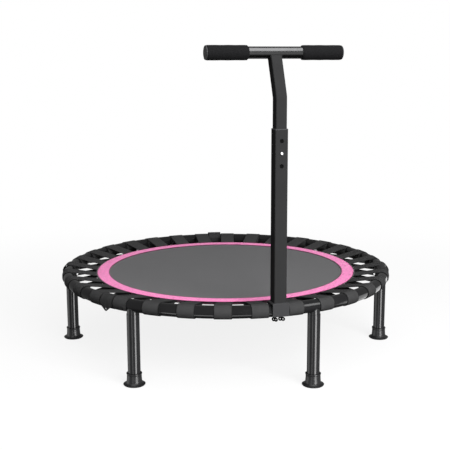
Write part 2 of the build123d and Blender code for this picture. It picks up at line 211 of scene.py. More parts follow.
def leg_angle(index):
    return 2 * math.pi * index / LEG_COUNT


def turn_between(angle, other):
    """Signed angle from other to angle, between minus half a turn and half a turn."""
    return (angle - other + math.pi) % (2 * math.pi) - math.pi


# ---------------------------------------------------------------- material helpers
class Look:
    """One node material that is built up step by step."""

    def __init__(self, name, colour, roughness, metallic=0.0):
        self.material = bpy.data.materials.new(name)
        self.material.use_nodes = True
        self.nodes = self.material.node_tree.nodes
        self.links = self.material.node_tree.links
        self.surface = self.nodes["Principled BSDF"]
        self.surface.inputs["Base Color"].default_value = (*colour, 1)
        self.surface.inputs["Roughness"].default_value = roughness
        self.surface.inputs["Metallic"].default_value = metallic
        self.colour = colour
        self.normal = None

    def node(self, kind, **settings):
        made = self.nodes.new(kind)
        for key, value in settings.items():
            setattr(made, key, value)
        return made

    def put(self, socket, value):
        """Set a socket to a value or connect it to an output."""
        if hasattr(value, "is_output"):
            self.links.new(value, socket)
        else:
            socket.default_value = value

    def math(self, operation, *values):
        made = self.node("ShaderNodeMath", operation=operation)
        for socket, value in zip(made.inputs, values):
            self.put(socket, value)
        return made.outputs[0]

    def place(self, source="Object"):
        return self.node("ShaderNodeTexCoord").outputs[source]

    def stretched(self, vector, scale):
        made = self.node("ShaderNodeMapping")
        self.put(made.inputs["Vector"], vector)
        made.inputs["Scale"].default_value = scale
        return made.outputs[0]

    def noise(self, scale, detail=3.0, vector=None):
        made = self.node("ShaderNodeTexNoise")
        made.inputs["Scale"].default_value = scale
        made.inputs["Detail"].default_value = detail
        self.put(made.inputs["Vector"], vector if vector is not None else self.place())
        return made.outputs["Fac"]

    def cells(self, scale, vector=None):
        made = self.node("ShaderNodeTexVoronoi")
        made.inputs["Scale"].default_value = scale
        self.put(made.inputs["Vector"], vector if vector is not None else self.place())
        return made.outputs["Distance"]

    def spread(self, value, low, high, start=0.0, end=1.0):
        """Map start..end to low..high, and keep to low and high outside it."""
        made = self.node("ShaderNodeMapRange")
        self.put(made.inputs["Value"], value)
        made.inputs["From Min"].default_value = start
        made.inputs["From Max"].default_value = end
        made.inputs["To Min"].default_value = low
        made.inputs["To Max"].default_value = high
        return made.outputs[0]

    def waves(self, vector, axis, pitch):
        """Smooth 0..1 ridges of the given pitch along one axis of a vector."""
        parts = self.node("ShaderNodeSeparateXYZ")
        self.put(parts.inputs[0], vector)
        turned = self.math("MULTIPLY", parts.outputs[axis], 2 * math.pi / pitch)
        return self.math("MULTIPLY_ADD", self.math("SINE", turned), 0.5, 0.5)

    def shade(self, factor, low, high, start=0.0, end=1.0):
        """Multiply the base colour by low to high as the factor runs from start to end."""
        gain = self.spread(factor, low, high, start, end)
        mix = self.node("ShaderNodeVectorMath", operation="SCALE")
        base = self.surface.inputs["Base Color"]
        if base.is_linked:
            self.links.new(base.links[0].from_socket, mix.inputs[0])
        else:
            mix.inputs[0].default_value = self.colour
        self.put(mix.inputs["Scale"], gain)
        self.links.new(mix.outputs[0], base)

    def vary_roughness(self, factor, low, high):
        self.put(self.surface.inputs["Roughness"], self.spread(factor, low, high))

    def bump(self, height, depth, strength=1.0):
        """Add a bump of real depth in metres on top of the earlier ones."""
        made = self.node("ShaderNodeBump")
        made.inputs["Distance"].default_value = depth
        made.inputs["Strength"].default_value = strength
        self.put(made.inputs["Height"], height)
        if self.normal is not None:
            self.links.new(self.normal, made.inputs["Normal"])
        self.normal = made.outputs["Normal"]
        self.put(self.surface.inputs["Normal"], self.normal)

    def set(self, **inputs):
        for key, value in inputs.items():
            self.put(self.surface.inputs[key.replace("_", " ")], value)


def gloss_paint():
    look = Look("gloss_black_paint", (0.009, 0.009, 0.0095), 0.12)
    look.vary_roughness(look.noise(60, 4), 0.09, 0.16)
    look.shade(look.noise(25, 3), 0.8, 1.3)
    look.bump(look.noise(900, 2), 0.00002)
    return look.material


HOLE_SHADE_TOP = post_high.z - 0.022  # the upper post is darkened below this height, with the handle at rest: painted shade seen through the lower post's holes
HOLE_SHADE_FADE = 0.008


def satin_paint(name, colour, roughness, specular, shaded_below=None):
    """Powder coat of a fine even grain and slightly uneven sheen, darkened below a height with painted shade.
    """
    look = Look(name, colour, roughness)
    look.vary_roughness(look.noise(40, 4), roughness - 0.06, roughness + 0.08)
    look.shade(look.noise(18, 3), 0.9, 1.12)
    look.bump(look.noise(1600, 2), 0.00004)
    look.set(Specular_IOR_Level=specular)
    # painted shade: darker below the height, so the post looks shaded through the holes of the lower post
    if shaded_below is not None:
        height = look.node("ShaderNodeSeparateXYZ")
        look.put(height.inputs[0], look.place())
        look.shade(height.outputs["Z"], 0.22, 1.0, shaded_below, shaded_below + HOLE_SHADE_FADE)
    return look.material


def bar_metal():
    """Dark plated tube with a fine uneven polish."""
    look = Look("dark_plated_metal", (0.2, 0.2, 0.203), 0.24, metallic=1.0)
    lines = look.noise(300, 4)
    look.vary_roughness(lines, 0.2, 0.28)
    look.shade(look.noise(45, 3), 0.85, 1.15)
    look.bump(lines, 0.00001)
    return look.material


def steel(name, colour, roughness):
    look = Look(name, colour, roughness, metallic=1.0)
    look.vary_roughness(look.noise(220, 4), roughness - 0.08, roughness + 0.12)
    look.shade(look.noise(90, 3), 0.85, 1.1)
    look.bump(look.noise(1200, 3), 0.00002)
    return look.material


def foam():
    """Closed-cell foam: matt skin with small pores."""
    look = Look("black_foam", (0.0068, 0.0068, 0.0072), 0.85)
    look.shade(look.noise(380, 4), 0.45, 1.85)
    look.bump(look.cells(700), 0.0005, 0.9)
    look.bump(look.noise(260, 4), 0.0003, 0.6)
    look.set(Specular_IOR_Level=0.15)
    return look.material


def rubber():
    look = Look("foot_rubber", (0.0095, 0.0095, 0.01), 0.3)
    look.vary_roughness(look.noise(80, 4), 0.2, 0.4)
    look.shade(look.noise(40, 3), 0.8, 1.4)
    look.bump(look.noise(700, 3), 0.00004)
    return look.material


def plastic():
    look = Look("black_plastic", (0.035, 0.035, 0.037), 0.42)
    look.vary_roughness(look.noise(90, 3), 0.36, 0.5)
    look.bump(look.noise(1400, 2), 0.00003)
    return look.material


MAT_YARN = 0.0016          # pitch of the weave
BAND_YARN = 0.0011


def mat_weave():
    """Tight plain weave of flat plastic yarn."""
    look = Look("mat_weave", (0.13, 0.13, 0.133), 0.62)
    place = look.place()
    warp = look.waves(place, "X", MAT_YARN)
    weft = look.waves(place, "Y", MAT_YARN)
    weave = look.math("MULTIPLY", warp, weft)
    look.shade(weave, 0.86, 1.16)
    look.shade(look.noise(9, 4), 0.94, 1.06)
    look.shade(look.noise(160, 2), 0.92, 1.08)
    look.vary_roughness(weave, 0.72, 0.55)
    look.bump(weave, 0.0002)
    return look.material


def band_cloth(name, colour):
    """Bright cloth with darker lines at its edges: its folded hems, darkened further with painted shade where
    the band meets the mat and the straps.
    """
    look = Look(name, colour, 0.78)
    place = look.place()
    warp = look.waves(place, "X", BAND_YARN)
    weft = look.waves(place, "Y", BAND_YARN)
    weave = look.math("MULTIPLY", warp, weft)
    look.shade(weave, 0.93, 1.05)
    look.shade(look.noise(30, 4), 0.94, 1.04)
    look.shade(look.noise(170, 3), 0.55, 1.4)
    radius = look.node("ShaderNodeVectorMath", operation="LENGTH")
    look.put(radius.inputs[0], look.stretched(place, (1, 1, 0)))
    # darker rims at both edges, partly the hems' own colour and partly painted shade
    for edge, inward in ((BAND_INNER, HEM_AND_SHADE_WIDTH), (BAND_OUTER, -HEM_AND_SHADE_WIDTH)):
        look.shade(radius.outputs["Value"], 1.0, 0.1, edge + 0.7 * inward, edge + 0.4 * inward)
    look.bump(weave, 0.00015)
    look.bump(look.noise(90, 3), 0.0005, 0.5)
    look.set(Sheen_Weight=0.2, Sheen_Roughness=0.4)
    return look.material


WEB_RIB = 0.0026           # pitch of the ribs that run along the webbing
WEB_PICK = 0.0012          # pitch of the threads that cross it
SELVEDGE_AND_SHADE = 0.0026          # width of its darker edges: a darker selvedge and painted shade between neighbouring straps


def webbing(name, colour, width):
    """Elastic webbing.  Its UV map is in metres: U across the strap and V along it."""
    look = Look(name, colour, 0.85)
    place = look.place("UV")
    ribs = look.waves(place, "X", WEB_RIB)
    across = look.node("ShaderNodeSeparateXYZ")
    look.put(across.inputs[0], place)
    off_middle = look.math("ABSOLUTE", across.outputs["X"])
    # darker edges: partly the selvedge's own colour, partly painted shade between straps
    look.shade(off_middle, 1.0, 0.55, width / 2 - SELVEDGE_AND_SHADE, width / 2 - SELVEDGE_AND_SHADE / 3)
    look.shade(ribs, 0.8, 1.2)
    look.shade(look.noise(40, 4), 0.88, 1.12)
    look.bump(ribs, 0.0003)
    look.bump(look.waves(place, "Y", WEB_PICK), 0.000042)
    look.set(Specular_IOR_Level=0.15)
    return look.material


def thread(name, colour):
    look = Look(name, colour, 0.7)
    look.shade(look.noise(700, 2), 0.85, 1.1)
    look.bump(look.noise(2500, 2), 0.00008)
    return look.material


POST_BLACK = (0.0225, 0.0225, 0.023)

LOOKS = {
    "frame": gloss_paint(),
    "post": satin_paint("post_paint", POST_BLACK, 0.5, 0.0),
    # upper post, with painted shade on its lower part
    "inner_post": satin_paint("inner_post_paint", POST_BLACK, 0.5, 0.0, HOLE_SHADE_TOP),
    "clamp": satin_paint("clamp_paint", (0.036, 0.036, 0.0375), 0.5, 0.15),
    "bar": bar_metal(),
    "steel": steel("zinc_steel", (0.5, 0.5, 0.52), 0.35),
    "bright": steel("bright_metal", (0.92, 0.92, 0.93), 0.3),
    "black_zinc": steel("black_zinc", (0.024, 0.024, 0.026), 0.45),
    "foam": foam(),
    "rubber": rubber(),
    "plastic": plastic(),
    "mat": mat_weave(),
    "band": band_cloth("band_cloth", (0.88, 0.2, 0.5)),
    # the band cloth made much darker: painted shade for the band's lower half and its edge cord
    "under_band": band_cloth("under_band_cloth", (0.1, 0.012, 0.042)),
    "strap": webbing("strap_webbing", (0.037, 0.037, 0.0375), STRAP_WIDTH),
    "cover": webbing("cover_webbing", (0.028, 0.028, 0.0285), COVER_WIDTH),
    "pink_thread": thread("pink_thread", (0.62, 0.09, 0.25)),
    "grey_thread": thread("grey_thread", (0.16, 0.16, 0.165)),
}


def wear(piece, look):
    piece.data.materials.clear()
    piece.data.materials.append(LOOKS[look])
    return piece


# ---------------------------------------------------------------- CAD nodes that stay
CAD_LOOKS = {
    "frame": ["frame_arc_front", "frame_arc_right", "frame_arc_left", "leg_sockets", "leg_right",
              "leg_back_right", "leg_back_left", "leg_left", "leg_front_left", "leg_front_right"],
    "steel": ["frame_joiners", "joint_pins", "leg_studs", "button_spring"],
    "bright": ["snap_button"],
    "black_zinc": ["clamp_bolts", "clamp_washers", "cover_eyelets"],
    "clamp": ["clamp_saddle"],
    "post": ["lower_post"],
    "inner_post": ["upper_post"],
    "plastic": ["post_bush", "bar_cap_left", "bar_cap_right"],
    "bar": ["handlebar"],
}
BEVELLED = {"clamp_saddle": 0.0006, "post_bush": 0.0003, "cover_eyelets": 0.00015}


def dress_cad_nodes():
    for look, names in CAD_LOOKS.items():
        for name in names:
            wear(frame["nodes"][name], look)
    for name, width in BEVELLED.items():
        add_bevel(frame["nodes"][name], width)


# ---------------------------------------------------------------- jump mat and edge band
MAT_VISIBLE_R = BAND_OUTER - 0.012
MAT_SAG = 0.002            # the middle hangs this much lower
RING_SEGMENTS = 256
BAND_WAVES = (61, 97, 143, 211)  # ripples of the pulled cloth, counted once round
BAND_WAVE_HEIGHT = 0.00012
BAND_WAVE_REACH = 0.0004   # as a share of the radius, at the outer edge


def make_mat():
    """Taut woven disc that hangs a little lower in its middle."""
    rings = 36
    radii = [MAT_VISIBLE_R * (step / rings) ** 0.8 for step in range(rings + 1)]
    sag = [MAT_SAG * (1 - (r / MAT_VISIBLE_R) ** 2) for r in radii]
    top = [(r, MAT_TOP - s) for r, s in zip(radii, sag)]
    bottom = [(r, MAT_BOTTOM - s) for r, s in zip(radii, sag)]
    mat = lathe("woven_mat", top + bottom[::-1], RING_SEGMENTS)
    wear(mat, "mat")
    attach(mat, "mat")
    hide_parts("jump_mat")


def band_outline():
    """Closed (radius, height) outline of the folded band: top flange, open rim, under flange."""
    inner = BAND_INNER
    outer = BAND_OUTER
    top = MAT_TOP + BAND_RISE
    under = MAT_TOP + BAND_UNDERSIDE
    hem = 0.45 * BAND_RISE
    upper = [(inner, under - 0.0005)]
    upper += arc_points((inner + hem, top - hem - 0.0002), hem, 180, 90, 4)
    crown_steps = 10
    for step in range(1, crown_steps):
        share = step / crown_steps
        rise = 0.0006 * math.sin(math.pi * share)
        upper.append((inner + hem + (outer - inner - 2 * hem) * share, top - 0.0002 + rise))
    upper += arc_points((outer - hem, top - hem - 0.0002), hem, 90, -60, 6)
    upper.append((outer - 0.004, under))
    upper.append((inner + 0.004, under - 0.0004))
    return upper


def make_band():
    outline = band_outline()
    band = lathe("pink_edge_band", outline, 2 * RING_SEGMENTS, closed=True)
    spots = random.Random(7)
    waves = [(count, spots.uniform(0, 2 * math.pi), spots.uniform(0.4, 1.0)) for count in BAND_WAVES]
    for vertex in band.data.vertices:
        angle = math.atan2(vertex.co.y, vertex.co.x)
        radius = math.hypot(vertex.co.x, vertex.co.y)
        share = (radius - BAND_INNER) / BAND_WIDTH
        ripple = sum(size * math.sin(count * angle + phase) for count, phase, size in waves)
        vertex.co.z += BAND_WAVE_HEIGHT * ripple * (0.3 + share)
        stretch = 1 + BAND_WAVE_REACH * ripple * max(0.0, 2 * share - 1)
        vertex.co.x *= stretch
        vertex.co.y *= stretch
    wear(band, "band")
    band.visible_glossy = False
    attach(band, "mat")
    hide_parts("edge_band")


def make_band_cord():
    """Rolled cord of the band's cloth along its outer edge, in the dark copy of that cloth: a line of painted
    shade along the rim.
    """
    radius = 0.0013
    profile = arc_points((BAND_OUTER - 0.0004, MAT_TOP + 0.0016), radius, 0, 330, 11)
    cord = lathe("band_edge_cord", profile, 2 * RING_SEGMENTS, closed=True)
    # painted shade: the cord wears the darkened band cloth
    wear(cord, "under_band")
    cord.visible_glossy = False
    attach(cord, "mat")


def make_under_band():
    """Lower half of the folded band, on the underside of the straps' ends, in a dark copy of the band cloth
    that is painted shade.
    """
    inner = BAND_OUTER - 0.022
    outer = BAND_OUTER - 0.0006
    top = MAT_BOTTOM - 0.0026
    low = top - 0.0011
    turn = outer - 0.0006
    profile = [(inner, low), (inner, top), (turn, top), (outer, (top + low) / 2), (turn, low)]
    under = lathe("under_band", profile, RING_SEGMENTS, closed=True)
    # painted shade: the band's cloth in a much darker colour, for the shade under the straps' ends
    wear(under, "under_band")
    under.visible_glossy = False
    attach(under, "mat")
    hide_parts("edge_band")


def stitch_ring(name, radius, height, look, pitch=0.0048, length=0.0034, thickness=0.00032):
    """Row of short thread capsules lying along a circle."""
    count = int(2 * math.pi * radius / pitch)
    sides = 6
    outline = [(-0.5, 0.25), (-0.32, 1.0), (0.32, 1.0), (0.5, 0.25)]
    points, faces = [], []
    for index in range(count):
        middle = 2 * math.pi * index / count
        base = len(points)
        for along, girth in outline:
            for side in range(sides):
                turn = 2 * math.pi * side / sides
                size = thickness * girth
                angle = middle + along * length / radius
                points.append(polar(radius + size * math.cos(turn), angle, height + size * math.sin(turn)))
        for row in range(len(outline) - 1):
            for side in range(sides):
                following = (side + 1) % sides
                faces.append((base + row * sides + side, base + row * sides + following,
                              base + (row + 1) * sides + following, base + (row + 1) * sides + side))
        faces.append(tuple(base + side for side in range(sides)))
        faces.append(tuple(base + (len(outline) - 1) * sides + side for side in range(sides)))
    row = mesh_object(name, points, faces)
    wear(row, look)
    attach(row, "mat")


def make_stitches():
    proud = 0.0001
    band_surface = MAT_TOP + BAND_RISE
    stitch_ring("band_stitches_outer", BAND_OUTER - 0.0045, band_surface + proud, "pink_thread")
    stitch_ring("band_stitches_inner", BAND_INNER + 0.0035, band_surface + proud, "pink_thread")
    for index, inset in enumerate((0.005, 0.010)):
        radius = BAND_INNER - inset
        height = MAT_TOP - MAT_SAG * (1 - (radius / MAT_VISIBLE_R) ** 2)
        stitch_ring(f"mat_stitches_{index + 1}", radius, height + proud, "grey_thread")


# ---------------------------------------------------------------- elastic straps
STRAP_THICKNESS = 0.0015
STRAP_END_R = BAND_OUTER - 0.008
STRAP_TOP_Z = MAT_TOP - 0.0004
STRAP_UNDER_Z = MAT_BOTTOM - 0.0012
STRAP_COLUMNS = 25
WRAP_R = TUBE_R + 0.0002 + STRAP_THICKNESS / 2
SLOT_HALF = LEG_R + 0.0012              # half width of the slot that a leg passes through
SLOT_TURN = 0.85                        # the slot starts at this angle below the tube's outermost line
SLOT_END_R = RING_R - 1.25 * TUBE_R     # and ends at this radius under the mat side
LEG_BULGE = 0.0040                      # how far the webbing stands off the tube over a leg
STRAP_CLEARANCE = 0.0004                # between a strap and the handle clamp
CLAMP_EASE = 0.75                       # share of a strap's span over which the clamp narrows it


def tangent_angle(point, upper):
    """Angle on the wrap circle where a straight strap from the point touches it."""
    dx, dz = point[0] - RING_R, point[1] - RING_Z
    towards = math.atan2(dz, dx)
    opening = math.acos(WRAP_R / math.hypot(dx, dz))
    return towards - opening if upper else towards + opening


def strap_path():
    """Points along the strap as (radius, height, layer, turn).

    layer is 1 at the top end, 0 on the tube and -1 at the under end.  turn is the angle round the tube, 0 at
    its outermost line, and None off the tube.
    """
    top_end = (STRAP_END_R, STRAP_TOP_Z)
    under_end = (STRAP_END_R, STRAP_UNDER_Z)
    first = tangent_angle(top_end, True)
    last = tangent_angle(under_end, False) - 2 * math.pi
    on_tube = [(RING_R + WRAP_R * math.cos(a), RING_Z + WRAP_R * math.sin(a), 0.0, a)
               for a in np.linspace(first, last, 31)]
    steps = 14
    path = []
    for step in range(steps):
        share = step / steps
        path.append((top_end[0] + (on_tube[0][0] - top_end[0]) * share,
                     top_end[1] + (on_tube[0][1] - top_end[1]) * share, 1 - share, None))
    path += on_tube
    for step in range(1, steps + 1):
        share = step / steps
        path.append((on_tube[-1][0] + (under_end[0] - on_tube[-1][0]) * share,
                     on_tube[-1][1] + (under_end[1] - on_tube[-1][1]) * share, -share, None))
    return path


def beside_leg(angle):
    """True within the width of a leg."""
    return any(abs(turn_between(angle, leg_angle(index))) * RING_R < SLOT_HALF for index in range(LEG_COUNT))


def beside_clamp(across, centre, layer):
    """Shift across the strap that leaves room for the handle clamp next to it."""
    gap = turn_between(POST_ANGLE, centre) * RING_R
    room = abs(gap) - CLAMP_HALF - STRAP_CLEARANCE
    if room >= STRAP_WIDTH / 2:
        return across
    side = math.copysign(1.0, gap)
    closeness = min(1.0, (1 - abs(layer)) / CLAMP_EASE)
    narrowed = 1 - (1 - (room + STRAP_WIDTH / 2) / STRAP_WIDTH) * closeness
    far_edge = -side * STRAP_WIDTH / 2
    return far_edge + (across - far_edge) * narrowed


def wrap_place(turn, loose, slotted):
    """(radius, height) on the tube; over a leg the webbing hangs straight down instead of curving under."""
    if slotted and turn < 0:
        return RING_R + WRAP_R + loose, RING_Z + WRAP_R * turn
    size = WRAP_R + loose * max(0.0, math.cos(turn))
    return RING_R + size * math.cos(turn), RING_Z + size * math.sin(turn)


def strap_surface(index):
    """Points, UVs and slot marks of a strap's middle surface, row by row from its top end."""
    centre = index * STRAP_PITCH
    dice = random.Random(100 + index)
    lean_top = dice.uniform(-0.0022, 0.0022)
    lean_under = dice.uniform(-0.0030, 0.0030)
    bow = dice.uniform(-0.0003, 0.0007)
    curl = dice.uniform(0.0001, 0.0009)
    loose = dice.uniform(0.0, 0.0007)
    if beside_leg(centre):
        loose = LEG_BULGE
    points, uvs, cut = [], [], []
    length = 0.0
    path = strap_path()
    previous = path[0]
    for radius, height, layer, turn in path:
        length += math.hypot(radius - previous[0], height - previous[1])
        previous = (radius, height)
        lean = lean_top * max(layer, 0.0) + lean_under * max(-layer, 0.0)
        span = abs(layer) * (1 - abs(layer)) * 4
        for column in range(STRAP_COLUMNS):
            across = (column / (STRAP_COLUMNS - 1) - 0.5) * STRAP_WIDTH
            edge = (2 * across / STRAP_WIDTH) ** 2
            lift = span * (bow - curl * edge) * (1 if layer > 0 else -1)
            angle = centre + (beside_clamp(across, centre, layer) + lean) / radius
            slotted = beside_leg(angle)
            r, z = (radius, height + lift) if turn is None else wrap_place(turn, loose, slotted)
            points.append(polar(r, angle, z))
            uvs.append((across, length))
            below = turn is not None and turn < -SLOT_TURN
            returning = layer < 0 and radius > SLOT_END_R
            cut.append(slotted and (below or returning))
    return points, uvs, cut


def make_strap(index):
    """Webbing looped round the tube, both layers running to the mat's edge."""
    points, uvs, cut = strap_surface(index)
    grid = grid_faces(len(points) // STRAP_COLUMNS, STRAP_COLUMNS)
    faces = [face for face in grid if not any(cut[corner] for corner in face)]
    strap = mesh_object(f"strap_{index + 1:02d}", points, faces)
    map_uvs(strap, uvs)
    thick = strap.modifiers.new("thickness", "SOLIDIFY")
    thick.thickness = STRAP_THICKNESS
    thick.offset = 0
    add_bevel(strap, 0.0005, 2, 50)
    bake(strap)
    wear(strap, "strap")
    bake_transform(strap)
    if index == 0:
        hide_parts("elastic_straps")


def map_uvs(piece, uvs):
    layer = piece.data.uv_layers.new(name="UVMap")
    for loop in piece.data.loops:
        layer.data[loop.index].uv = uvs[loop.vertex_index]


# ---------------------------------------------------------------- covers over the frame joints
COVER_THICKNESS = 0.0018
COVER_TIP_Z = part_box("joint_covers")[0].z
COVER_SHOULDER_Z = RING_Z - 0.0085      # where the flap starts to taper
COVER_POINT = 0.004                     # width of its blunt tip
COVER_RIBS = 9
COVER_RIB_DEPTH = 0.0004
COVER_REACH = TUBE_R + 0.0002 + COVER_THICKNESS
EYELET_Z = sum(corner.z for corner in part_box("cover_eyelets")) / 2
EYELET_HOLE_R = 0.0036
BACK_LIFT = 0.0045                      # height of the loose fold on the back joint


def cover_piece(name, rows, columns, place):
    """Ribbed webbing whose outer face is place(row share, across); it is made thick inwards."""
    points, uvs = [], []
    for row in range(rows):
        for column in range(columns):
            across = (column / (columns - 1) - 0.5) * COVER_WIDTH
            point, length = place(row / (rows - 1), across)
            points.append(point)
            uvs.append((across, length))
    cover = mesh_object(name, points, grid_faces(rows, columns))
    map_uvs(cover, uvs)
    thick = cover.modifiers.new("thickness", "SOLIDIFY")
    thick.thickness = COVER_THICKNESS
    thick.offset = -1
    return cover


def finish_cover(cover):
    add_bevel(cover, 0.0004, 2, 60)
    bake(cover)
    wear(cover, "cover")
    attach(cover, "frame")


def cover_rib(across):
    return COVER_RIB_DEPTH * math.cos(2 * math.pi * COVER_RIBS * across / COVER_WIDTH)


def make_cover_wrap(index, joint, lift):
    """Webbing once round the tube; lift lets its top stand off in a loose fold."""
    def place(share, across):
        turn = math.pi * (1 - 2 * share)
        loose = lift * min(1.0, max(0.0, 1.6 * math.sin(turn)))
        size = COVER_REACH + cover_rib(across) + loose
        point = polar(RING_R + size * math.cos(turn), joint + across / RING_R, RING_Z + size * math.sin(turn))
        return point, turn * COVER_REACH
    cover = cover_piece(f"joint_cover_{index + 1}", 57, 61, place)
    finish_cover(cover)
    if index == 0:
        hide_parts("joint_covers")


def make_cover_flap(index, joint):
    """Pointed flap that hangs on the outer side, with a hole for its eyelet."""
    def place(share, across):
        inset = max(0.0, abs(across) - COVER_POINT / 2) / (COVER_WIDTH / 2 - COVER_POINT / 2)
        low = COVER_TIP_Z + (COVER_SHOULDER_Z - COVER_TIP_Z) * inset
        top = RING_Z + 0.0015
        height = top + (low - top) * share
        puff = 0.0008 * math.sin(math.pi * share) + cover_rib(across)
        return polar(RING_R + COVER_REACH + puff, joint + across / RING_R, height), RING_Z - height
    flap = cover_piece(f"cover_flap_{index + 1}", 33, 61, place)
    hole = lathe("hole", [(0, -0.01), (EYELET_HOLE_R, -0.01), (EYELET_HOLE_R, 0.01), (0, 0.01)], 32)
    outward = Matrix.Translation((COVER_REACH, 0, 0)) @ Matrix.Rotation(math.pi / 2, 4, "Y")
    move_to(hole, station(joint, EYELET_Z) @ outward)
    cutter = flap.modifiers.new("eyelet", "BOOLEAN")
    cutter.operation = "DIFFERENCE"
    cutter.object = hole
    finish_cover(flap)
    bpy.data.objects.remove(hole)


# ---------------------------------------------------------------- feet
def foot_profile():
    """(radius, height) outline of the rubber foot: flared collar and a thin, sharp-edged saucer brim."""
    bore = LEG_R + 0.0002
    collar = 0.0202
    rim = (foot_high.x - foot_low.x) / 2 + 0.001
    top = foot_high.z
    outline = [(bore, top - 0.001), (bore + 0.0006, top), (collar + 0.0010, top)]
    outline += [(collar + 0.0014, top - 0.0010), (collar + 0.0006, top - 0.0032), (collar, top - 0.0060)]
    outline += [(collar + 0.0003, 0.021), (collar + 0.0009, 0.013)]
    outline += [(collar + 0.0018, 0.0086), (collar + 0.0036, 0.0064), (collar + 0.0060, 0.0052)]
    outline += [(rim - 0.0010, 0.0041), (rim, 0.0034), (rim - 0.0004, 0.0024)]
    outline += [(rim - 0.0016, 0.0008), (rim - 0.0028, 0)]
    outline += [(0.0212, 0), (0.019, 0.0012), (0.011, 0.0024), (0, 0.003)]
    return outline


def make_foot(name, index):
    outline = foot_profile()
    inner = [(0, 0.0058), (LEG_R - 0.002, 0.0058), (LEG_R + 0.0002, 0.0058)]
    foot = lathe(f"rubber_{name}", inner + outline, 64)
    move_to(foot, Matrix.Translation(polar(RING_R, leg_angle(index), 0)))
    foot.data.set_sharp_from_angle(angle=math.radians(45))
    wear(foot, "rubber")
    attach(foot, "frame")
    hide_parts(name)


FEET = ["foot_right", "foot_back_right", "foot_back_left", "foot_left", "foot_front_left", "foot_front_right"]


# ---------------------------------------------------------------- handlebar grips
def grip_profile(length, radius, bore):
    """(radius, distance along) of a foam sleeve: chamfered inner end, rounded outer end."""
    profile = [(bore, 0.0), (radius - 0.0032, 0.0), (radius - 0.0026, 0.0004), (radius - 0.0003, 0.0030)]
    steps = 24
    for step in range(1, steps):
        share = step / steps
        swell = 0.00018 * math.sin(share * 17.0) * math.sin(math.pi * share)
        profile.append((radius + swell, 0.0036 + (length - 0.0066) * share))
    profile += arc_points((radius - 0.0026, length - 0.0026), 0.0026, 0, 90, 6)
    profile.append((bore, length))
    return profile


def make_grip(name, side):
    start, end = reach(name, ALONG_BAR)
    low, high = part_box(name)
    length = end - start
    radius = (high.z - low.z) / 2
    bore = BAR_R + 0.0001
    centre = (low + high) / 2
    grip = lathe(f"foam_{name}", grip_profile(length, radius, bore), 72, closed=True)
    axis = ALONG_BAR * side
    move_to(grip, axis.to_track_quat("Z", "Y").to_matrix().to_4x4())
    move_to(grip, Matrix.Translation(centre - axis * length / 2))
    wear(grip, "foam")
    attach(grip, "handle")
    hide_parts(name)


# ---------------------------------------------------------------- wing nuts
WING_WIRE_R = 0.0021
WING_LOOP_R = 0.0036
NUT_HUB = 0.005
NUT_BASE_R = 0.0044
NUT_NECK_R = 0.0036
NUT_BORE_R = 0.00255


def wing_tip(name, centre):
    """Angle and distance of the place of a CAD nut that lies farthest from its axis."""
    node = frame["nodes"][name]
    places = [node.matrix_world @ vertex.co - centre for vertex in node.data.vertices]
    farthest = max(places, key=lambda place: math.hypot(place.x, place.y))
    return math.atan2(farthest.y, farthest.x), math.hypot(farthest.x, farthest.y)


def make_eye():
    """Ring of round wire about local Z."""
    profile = [(WING_LOOP_R + WING_WIRE_R * math.cos(turn), WING_WIRE_R * math.sin(turn))
               for turn in np.linspace(0, 2 * math.pi, 13)[:-1]]
    return lathe("eye", profile, 36, closed=True)


def make_wing_nut(name, body):
    """Cast nut under the tube: a hub whose two wings are round-wired eyes."""
    low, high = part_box(name)
    centre = (low + high) / 2
    angle, span = wing_tip(name, centre)
    hub = [(NUT_BORE_R, 0), (NUT_BASE_R - 0.0004, 0), (NUT_BASE_R, -0.0004), (NUT_NECK_R, 0.0004 - NUT_HUB),
           (NUT_NECK_R - 0.0004, -NUT_HUB), (NUT_BORE_R, -NUT_HUB)]
    nut = lathe(f"cast_{name}", hub, 40, closed=True)
    work = bmesh.new()
    work.from_mesh(nut.data)
    eye_size = WING_LOOP_R + WING_WIRE_R
    for side in (-1, 1):
        eye = make_eye()
        place = Matrix.Translation((side * (span - eye_size), 0, low.z - high.z + eye_size))
        move_to(eye, place @ Matrix.Rotation(math.pi / 2, 4, "X"))
        work.from_mesh(eye.data)
        bpy.data.objects.remove(eye)
    work.to_mesh(nut.data)
    work.free()
    for polygon in nut.data.polygons:
        polygon.use_smooth = True
    move_to(nut, Matrix.Translation((centre.x, centre.y, high.z)) @ Matrix.Rotation(angle, 4, "Z"))
    wear(nut, "black_zinc")
    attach(nut, body)
    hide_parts(name)


# ---------------------------------------------------------------- weld beads
BEAD_RIPPLE = 0.16          # a bead swells and shrinks by this share
BEAD_RIPPLE_STEP = 1.7      # turn of that ripple from one point to the next


def bead(name, path, thickness, look, body):
    """Closed rippled bead of weld along a loop of points."""
    sides = 8
    count = len(path)
    centre = sum(path, Vector()) / count
    points = []
    for index, point in enumerate(path):
        along = (path[(index + 1) % count] - path[index - 1]).normalized()
        away = (point - centre).normalized()
        away = (away - along * away.dot(along)).normalized()
        other = along.cross(away)
        size = thickness * (1 + BEAD_RIPPLE * math.sin(index * BEAD_RIPPLE_STEP))
        for side in range(sides):
            turn = 2 * math.pi * side / sides
            points.append(point + away * size * math.cos(turn) + other * size * math.sin(turn))
    faces = grid_faces(count, sides, close_rows=True, close_columns=True)
    ring = mesh_object(name, points, faces)
    wear(ring, look)
    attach(ring, body)


